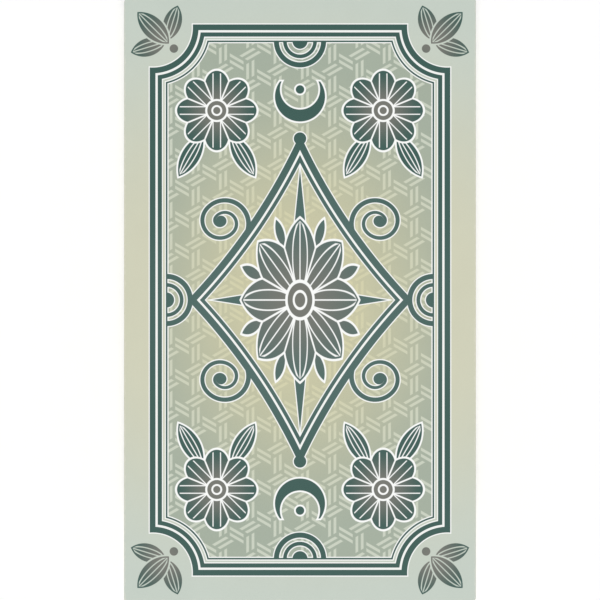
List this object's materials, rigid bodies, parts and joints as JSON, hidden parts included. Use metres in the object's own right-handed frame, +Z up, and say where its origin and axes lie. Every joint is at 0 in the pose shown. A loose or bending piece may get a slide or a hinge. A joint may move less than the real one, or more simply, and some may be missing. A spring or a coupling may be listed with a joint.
{
  "type": "tarot card deck",
  "caption": "Squared stack of loose printed cards, lying face down: it can be cut, fanned out, picked from, and its top card turned over.",
  "frame": {"origin": "on the table, under the middle of the squared stack", "axes": "+Z up through the stack, +Y along the cards away from the reader, +X to the reader's right"},
  "size_m": [0.0704, 0.1204, 0.028],
  "materials": {
    "printed_card": "printed both sides, matt laminate, cut edges of pale paper"
  },
  "bodies": {
    "lower_packet": {"lower_packet": "printed_card"},
    "cut_card": {"cut_card": "printed_card"},
    "fan_card_01": {"fan_card_01": "printed_card"},
    "fan_card_02": {"fan_card_02": "printed_card"},
    "fan_card_03": {"fan_card_03": "printed_card"},
    "fan_card_04": {"fan_card_04": "printed_card"},
    "fan_card_05": {"fan_card_05": "printed_card"},
    "fan_card_06": {"fan_card_06": "printed_card"},
    "fan_card_07": {"fan_card_07": "printed_card"},
    "fan_card_08": {"fan_card_08": "printed_card"},
    "fan_card_09": {"fan_card_09": "printed_card"},
    "fan_card_10": {"fan_card_10": "printed_card"},
    "fan_card_11": {"fan_card_11": "printed_card"},
    "fan_card_12": {"fan_card_12": "printed_card"},
    "fan_card_13": {"fan_card_13": "printed_card"},
    "fan_card_14": {"fan_card_14": "printed_card"},
    "fan_card_15": {"fan_card_15": "printed_card"},
    "fan_card_16": {"fan_card_16": "printed_card"},
    "fan_card_17": {"fan_card_17": "printed_card"},
    "fan_card_18": {"fan_card_18": "printed_card"},
    "fan_card_19": {"fan_card_19": "printed_card"},
    "fan_card_20": {"fan_card_20": "printed_card"},
    "fan_card_21": {"fan_card_21": "printed_card"},
    "fan_card_22": {"fan_card_22": "printed_card"},
    "fan_card_23": {"fan_card_23": "printed_card"},
    "fan_card_24": {"fan_card_24": "printed_card"},
    "fan_card_25": {"fan_card_25": "printed_card"},
    "fan_card_26": {"fan_card_26": "printed_card"},
    "fan_card_27": {"fan_card_27": "printed_card"},
    "fan_card_28": {"fan_card_28": "printed_card"},
    "picked_card": {"picked_card": "printed_card"},
    "fan_card_29": {"fan_card_29": "printed_card"},
    "fan_card_30": {"fan_card_30": "printed_card"},
    "fan_card_31": {"fan_card_31": "printed_card"},
    "fan_card_32": {"fan_card_32": "printed_card"},
    "fan_card_33": {"fan_card_33": "printed_card"},
    "fan_card_34": {"fan_card_34": "printed_card"},
    "fan_card_35": {"fan_card_35": "printed_card"},
    "fan_card_36": {"fan_card_36": "printed_card"},
    "fan_card_37": {"fan_card_37": "printed_card"},
    "fan_card_38": {"fan_card_38": "printed_card"},
    "fan_card_39": {"fan_card_39": "printed_card"},
    "fan_card_40": {"fan_card_40": "printed_card"},
    "fan_card_41": {"fan_card_41": "printed_card"},
    "fan_card_42": {"fan_card_42": "printed_card"},
    "fan_card_43": {"fan_card_43": "printed_card"},
    "fan_card_44": {"fan_card_44": "printed_card"},
    "fan_card_45": {"fan_card_45": "printed_card"},
    "fan_card_46": {"fan_card_46": "printed_card"},
    "fan_card_47": {"fan_card_47": "printed_card"},
    "fan_card_48": {"fan_card_48": "printed_card"},
    "fan_card_49": {"fan_card_49": "printed_card"},
    "fan_card_50": {"fan_card_50": "printed_card"},
    "fan_card_51": {"fan_card_51": "printed_card"},
    "fan_card_52": {"fan_card_52": "printed_card"},
    "fan_card_53": {"fan_card_53": "printed_card"},
    "fan_card_54": {"fan_card_54": "printed_card"},
    "fan_card_55": {"fan_card_55": "printed_card"},
    "fan_card_56": {"fan_card_56": "printed_card"},
    "top_card": {"top_card": "printed_card"}
  },
  "joints": [
    {"name": "cut", "type": "slide", "parent": "lower_packet", "child": "cut_card", "axis": [1, 0, 0], "range_m": [0, 0.033]},
    {"name": "fan_01", "type": "hinge", "parent": "cut_card", "child": "fan_card_01", "pos_m": [-0.023, -0.048, 0], "axis": [0, 0, -1], "range_deg": [0, 2.14]},
    {"name": "fan_02", "type": "hinge", "parent": "cut_card", "child": "fan_card_02", "pos_m": [-0.023, -0.048, 0], "axis": [0, 0, -1], "range_deg": [0, 4.29]},
    {"name": "fan_03", "type": "hinge", "parent": "cut_card", "child": "fan_card_03", "pos_m": [-0.023, -0.048, 0], "axis": [0, 0, -1], "range_deg": [0, 6.43]},
    {"name": "fan_04", "type": "hinge", "parent": "cut_card", "child": "fan_card_04", "pos_m": [-0.023, -0.048, 0], "axis": [0, 0, -1], "range_deg": [0, 8.57]},
    {"name": "fan_05", "type": "hinge", "parent": "cut_card", "child": "fan_card_05", "pos_m": [-0.023, -0.048, 0], "axis": [0, 0, -1], "range_deg": [0, 10.71]},
    {"name": "fan_06", "type": "hinge", "parent": "cut_card", "child": "fan_card_06", "pos_m": [-0.023, -0.048, 0], "axis": [0, 0, -1], "range_deg": [0, 12.86]},
    {"name": "fan_07", "type": "hinge", "parent": "cut_card", "child": "fan_card_07", "pos_m": [-0.023, -0.048, 0], "axis": [0, 0, -1], "range_deg": [0, 15]},
    {"name": "fan_08", "type": "hinge", "parent": "cut_card", "child": "fan_card_08", "pos_m": [-0.023, -0.048, 0], "axis": [0, 0, -1], "range_deg": [0, 17.14]},
    {"name": "fan_09", "type": "hinge", "parent": "cut_card", "child": "fan_card_09", "pos_m": [-0.023, -0.048, 0], "axis": [0, 0, -1], "range_deg": [0, 19.29]},
    {"name": "fan_10", "type": "hinge", "parent": "cut_card", "child": "fan_card_10", "pos_m": [-0.023, -0.048, 0], "axis": [0, 0, -1], "range_deg": [0, 21.43]},
    {"name": "fan_11", "type": "hinge", "parent": "cut_card", "child": "fan_card_11", "pos_m": [-0.023, -0.048, 0], "axis": [0, 0, -1], "range_deg": [0, 23.57]},
    {"name": "fan_12", "type": "hinge", "parent": "cut_card", "child": "fan_card_12", "pos_m": [-0.023, -0.048, 0], "axis": [0, 0, -1], "range_deg": [0, 25.71]},
    {"name": "fan_13", "type": "hinge", "parent": "cut_card", "child": "fan_card_13", "pos_m": [-0.023, -0.048, 0], "axis": [0, 0, -1], "range_deg": [0, 27.86]},
    {"name": "fan_14", "type": "hinge", "parent": "cut_card", "child": "fan_card_14", "pos_m": [-0.023, -0.048, 0], "axis": [0, 0, -1], "range_deg": [0, 30]},
    {"name": "fan_15", "type": "hinge", "parent": "cut_card", "child": "fan_card_15", "pos_m": [-0.023, -0.048, 0], "axis": [0, 0, -1], "range_deg": [0, 32.14]},
    {"name": "fan_16", "type": "hinge", "parent": "cut_card", "child": "fan_card_16", "pos_m": [-0.023, -0.048, 0], "axis": [0, 0, -1], "range_deg": [0, 34.29]},
    {"name": "fan_17", "type": "hinge", "parent": "cut_card", "child": "fan_card_17", "pos_m": [-0.023, -0.048, 0], "axis": [0, 0, -1], "range_deg": [0, 36.43]},
    {"name": "fan_18", "type": "hinge", "parent": "cut_card", "child": "fan_card_18", "pos_m": [-0.023, -0.048, 0], "axis": [0, 0, -1], "range_deg": [0, 38.57]},
    {"name": "fan_19", "type": "hinge", "parent": "cut_card", "child": "fan_card_19", "pos_m": [-0.023, -0.048, 0], "axis": [0, 0, -1], "range_deg": [0, 40.72]},
    {"name": "fan_20", "type": "hinge", "parent": "cut_card", "child": "fan_card_20", "pos_m": [-0.023, -0.048, 0], "axis": [0, 0, -1], "range_deg": [0, 42.86]},
    {"name": "fan_21", "type": "hinge", "parent": "cut_card", "child": "fan_card_21", "pos_m": [-0.023, -0.048, 0], "axis": [0, 0, -1], "range_deg": [0, 45]},
    {"name": "fan_22", "type": "hinge", "parent": "cut_card", "child": "fan_card_22", "pos_m": [-0.023, -0.048, 0], "axis": [0, 0, -1], "range_deg": [0, 47.14]},
    {"name": "fan_23", "type": "hinge", "parent": "cut_card", "child": "fan_card_23", "pos_m": [-0.023, -0.048, 0], "axis": [0, 0, -1], "range_deg": [0, 49.29]},
    {"name": "fan_24", "type": "hinge", "parent": "cut_card", "child": "fan_card_24", "pos_m": [-0.023, -0.048, 0], "axis": [0, 0, -1], "range_deg": [0, 51.43]},
    {"name": "fan_25", "type": "hinge", "parent": "cut_card", "child": "fan_card_25", "pos_m": [-0.023, -0.048, 0], "axis": [0, 0, -1], "range_deg": [0, 53.57]},
    {"name": "fan_26", "type": "hinge", "parent": "cut_card", "child": "fan_card_26", "pos_m": [-0.023, -0.048, 0], "axis": [0, 0, -1], "range_deg": [0, 55.72]},
    {"name": "fan_27", "type": "hinge", "parent": "cut_card", "child": "fan_card_27", "pos_m": [-0.023, -0.048, 0], "axis": [0, 0, -1], "range_deg": [0, 57.86]},
    {"name": "fan_28", "type": "hinge", "parent": "cut_card", "child": "fan_card_28", "pos_m": [-0.023, -0.048, 0], "axis": [0, 0, -1], "range_deg": [0, 60]},
    {"name": "fan_29", "type": "hinge", "parent": "cut_card", "child": "fan_card_29", "pos_m": [-0.023, -0.048, 0], "axis": [0, 0, -1], "range_deg": [0, 62.14]},
    {"name": "fan_30", "type": "hinge", "parent": "cut_card", "child": "fan_card_30", "pos_m": [-0.023, -0.048, 0], "axis": [0, 0, -1], "range_deg": [0, 64.29]},
    {"name": "fan_31", "type": "hinge", "parent": "cut_card", "child": "fan_card_31", "pos_m": [-0.023, -0.048, 0], "axis": [0, 0, -1], "range_deg": [0, 66.43]},
    {"name": "fan_32", "type": "hinge", "parent": "cut_card", "child": "fan_card_32", "pos_m": [-0.023, -0.048, 0], "axis": [0, 0, -1], "range_deg": [0, 68.57]},
    {"name": "fan_33", "type": "hinge", "parent": "cut_card", "child": "fan_card_33", "pos_m": [-0.023, -0.048, 0], "axis": [0, 0, -1], "range_deg": [0, 70.72]},
    {"name": "fan_34", "type": "hinge", "parent": "cut_card", "child": "fan_card_34", "pos_m": [-0.023, -0.048, 0], "axis": [0, 0, -1], "range_deg": [0, 72.86]},
    {"name": "fan_35", "type": "hinge", "parent": "cut_card", "child": "fan_card_35", "pos_m": [-0.023, -0.048, 0], "axis": [0, 0, -1], "range_deg": [0, 75]},
    {"name": "fan_36", "type": "hinge", "parent": "cut_card", "child": "fan_card_36", "pos_m": [-0.023, -0.048, 0], "axis": [0, 0, -1], "range_deg": [0, 77.14]},
    {"name": "fan_37", "type": "hinge", "parent": "cut_card", "child": "fan_card_37", "pos_m": [-0.023, -0.048, 0], "axis": [0, 0, -1], "range_deg": [0, 79.29]},
    {"name": "fan_38", "type": "hinge", "parent": "cut_card", "child": "fan_card_38", "pos_m": [-0.023, -0.048, 0], "axis": [0, 0, -1], "range_deg": [0, 81.43]},
    {"name": "fan_39", "type": "hinge", "parent": "cut_card", "child": "fan_card_39", "pos_m": [-0.023, -0.048, 0], "axis": [0, 0, -1], "range_deg": [0, 83.57]},
    {"name": "fan_40", "type": "hinge", "parent": "cut_card", "child": "fan_card_40", "pos_m": [-0.023, -0.048, 0], "axis": [0, 0, -1], "range_deg": [0, 85.72]},
    {"name": "fan_41", "type": "hinge", "parent": "cut_card", "child": "fan_card_41", "pos_m": [-0.023, -0.048, 0], "axis": [0, 0, -1], "range_deg": [0, 87.86]},
    {"name": "fan_42", "type": "hinge", "parent": "cut_card", "child": "fan_card_42", "pos_m": [-0.023, -0.048, 0], "axis": [0, 0, -1], "range_deg": [0, 90]},
    {"name": "fan_43", "type": "hinge", "parent": "cut_card", "child": "fan_card_43", "pos_m": [-0.023, -0.048, 0], "axis": [0, 0, -1], "range_deg": [0, 92.14]},
    {"name": "fan_44", "type": "hinge", "parent": "cut_card", "child": "fan_card_44", "pos_m": [-0.023, -0.048, 0], "axis": [0, 0, -1], "range_deg": [0, 94.29]},
    {"name": "fan_45", "type": "hinge", "parent": "cut_card", "child": "fan_card_45", "pos_m": [-0.023, -0.048, 0], "axis": [0, 0, -1], "range_deg": [0, 96.43]},
    {"name": "fan_46", "type": "hinge", "parent": "cut_card", "child": "fan_card_46", "pos_m": [-0.023, -0.048, 0], "axis": [0, 0, -1], "range_deg": [0, 98.57]},
    {"name": "fan_47", "type": "hinge", "parent": "cut_card", "child": "fan_card_47", "pos_m": [-0.023, -0.048, 0], "axis": [0, 0, -1], "range_deg": [0, 100.72]},
    {"name": "fan_48", "type": "hinge", "parent": "cut_card", "child": "fan_card_48", "pos_m": [-0.023, -0.048, 0], "axis": [0, 0, -1], "range_deg": [0, 102.86]},
    {"name": "fan_49", "type": "hinge", "parent": "cut_card", "child": "fan_card_49", "pos_m": [-0.023, -0.048, 0], "axis": [0, 0, -1], "range_deg": [0, 105]},
    {"name": "fan_50", "type": "hinge", "parent": "cut_card", "child": "fan_card_50", "pos_m": [-0.023, -0.048, 0], "axis": [0, 0, -1], "range_deg": [0, 107.14]},
    {"name": "fan_51", "type": "hinge", "parent": "cut_card", "child": "fan_card_51", "pos_m": [-0.023, -0.048, 0], "axis": [0, 0, -1], "range_deg": [0, 109.29]},
    {"name": "fan_52", "type": "hinge", "parent": "cut_card", "child": "fan_card_52", "pos_m": [-0.023, -0.048, 0], "axis": [0, 0, -1], "range_deg": [0, 111.43]},
    {"name": "fan_53", "type": "hinge", "parent": "cut_card", "child": "fan_card_53", "pos_m": [-0.023, -0.048, 0], "axis": [0, 0, -1], "range_deg": [0, 113.57]},
    {"name": "fan_54", "type": "hinge", "parent": "cut_card", "child": "fan_card_54", "pos_m": [-0.023, -0.048, 0], "axis": [0, 0, -1], "range_deg": [0, 115.72]},
    {"name": "fan_55", "type": "hinge", "parent": "cut_card", "child": "fan_card_55", "pos_m": [-0.023, -0.048, 0], "axis": [0, 0, -1], "range_deg": [0, 117.86]},
    {"name": "fan", "type": "hinge", "parent": "cut_card", "child": "fan_card_56", "pos_m": [-0.023, -0.048, 0], "axis": [0, 0, -1], "range_deg": [0, 120]},
    {"name": "pick", "type": "slide", "parent": "fan_card_28", "child": "picked_card", "axis": [0, 1, 0], "range_m": [0, 0.055]},
    {"name": "turn", "type": "hinge", "parent": "fan_card_56", "child": "top_card", "pos_m": [0.038, 0, 0.01402], "axis": [0, 1, 0], "range_deg": [0, 180]}
  ],
  "couplings": [
    {"joint": "fan_01", "follows": "fan", "ratio": 0.017857},
    {"joint": "fan_02", "follows": "fan", "ratio": 0.035714},
    {"joint": "fan_03", "follows": "fan", "ratio": 0.053571},
    {"joint": "fan_04", "follows": "fan", "ratio": 0.071429},
    {"joint": "fan_05", "follows": "fan", "ratio": 0.089286},
    {"joint": "fan_06", "follows": "fan", "ratio": 0.10714},
    {"joint": "fan_07", "follows": "fan", "ratio": 0.125},
    {"joint": "fan_08", "follows": "fan", "ratio": 0.14286},
    {"joint": "fan_09", "follows": "fan", "ratio": 0.16071},
    {"joint": "fan_10", "follows": "fan", "ratio": 0.17857},
    {"joint": "fan_11", "follows": "fan", "ratio": 0.19643},
    {"joint": "fan_12", "follows": "fan", "ratio": 0.21429},
    {"joint": "fan_13", "follows": "fan", "ratio": 0.23214},
    {"joint": "fan_14", "follows": "fan", "ratio": 0.25},
    {"joint": "fan_15", "follows": "fan", "ratio": 0.26786},
    {"joint": "fan_16", "follows": "fan", "ratio": 0.28571},
    {"joint": "fan_17", "follows": "fan", "ratio": 0.30357},
    {"joint": "fan_18", "follows": "fan", "ratio": 0.32143},
    {"joint": "fan_19", "follows": "fan", "ratio": 0.33929},
    {"joint": "fan_20", "follows": "fan", "ratio": 0.35714},
    {"joint": "fan_21", "follows": "fan", "ratio": 0.375},
    {"joint": "fan_22", "follows": "fan", "ratio": 0.39286},
    {"joint": "fan_23", "follows": "fan", "ratio": 0.41071},
    {"joint": "fan_24", "follows": "fan", "ratio": 0.42857},
    {"joint": "fan_25", "follows": "fan", "ratio": 0.44643},
    {"joint": "fan_26", "follows": "fan", "ratio": 0.46429},
    {"joint": "fan_27", "follows": "fan", "ratio": 0.48214},
    {"joint": "fan_28", "follows": "fan", "ratio": 0.5},
    {"joint": "fan_29", "follows": "fan", "ratio": 0.51786},
    {"joint": "fan_30", "follows": "fan", "ratio": 0.53571},
    {"joint": "fan_31", "follows": "fan", "ratio": 0.55357},
    {"joint": "fan_32", "follows": "fan", "ratio": 0.57143},
    {"joint": "fan_33", "follows": "fan", "ratio": 0.58929},
    {"joint": "fan_34", "follows": "fan", "ratio": 0.60714},
    {"joint": "fan_35", "follows": "fan", "ratio": 0.625},
    {"joint": "fan_36", "follows": "fan", "ratio": 0.64286},
    {"joint": "fan_37", "follows": "fan", "ratio": 0.66071},
    {"joint": "fan_38", "follows": "fan", "ratio": 0.67857},
    {"joint": "fan_39", "follows": "fan", "ratio": 0.69643},
    {"joint": "fan_40", "follows": "fan", "ratio": 0.71429},
    {"joint": "fan_41", "follows": "fan", "ratio": 0.73214},
    {"joint": "fan_42", "follows": "fan", "ratio": 0.75},
    {"joint": "fan_43", "follows": "fan", "ratio": 0.76786},
    {"joint": "fan_44", "follows": "fan", "ratio": 0.78571},
    {"joint": "fan_45", "follows": "fan", "ratio": 0.80357},
    {"joint": "fan_46", "follows": "fan", "ratio": 0.82143},
    {"joint": "fan_47", "follows": "fan", "ratio": 0.83929},
    {"joint": "fan_48", "follows": "fan", "ratio": 0.85714},
    {"joint": "fan_49", "follows": "fan", "ratio": 0.875},
    {"joint": "fan_50", "follows": "fan", "ratio": 0.89286},
    {"joint": "fan_51", "follows": "fan", "ratio": 0.91071},
    {"joint": "fan_52", "follows": "fan", "ratio": 0.92857},
    {"joint": "fan_53", "follows": "fan", "ratio": 0.94643},
    {"joint": "fan_54", "follows": "fan", "ratio": 0.96429},
    {"joint": "fan_55", "follows": "fan", "ratio": 0.98214}
  ]
}
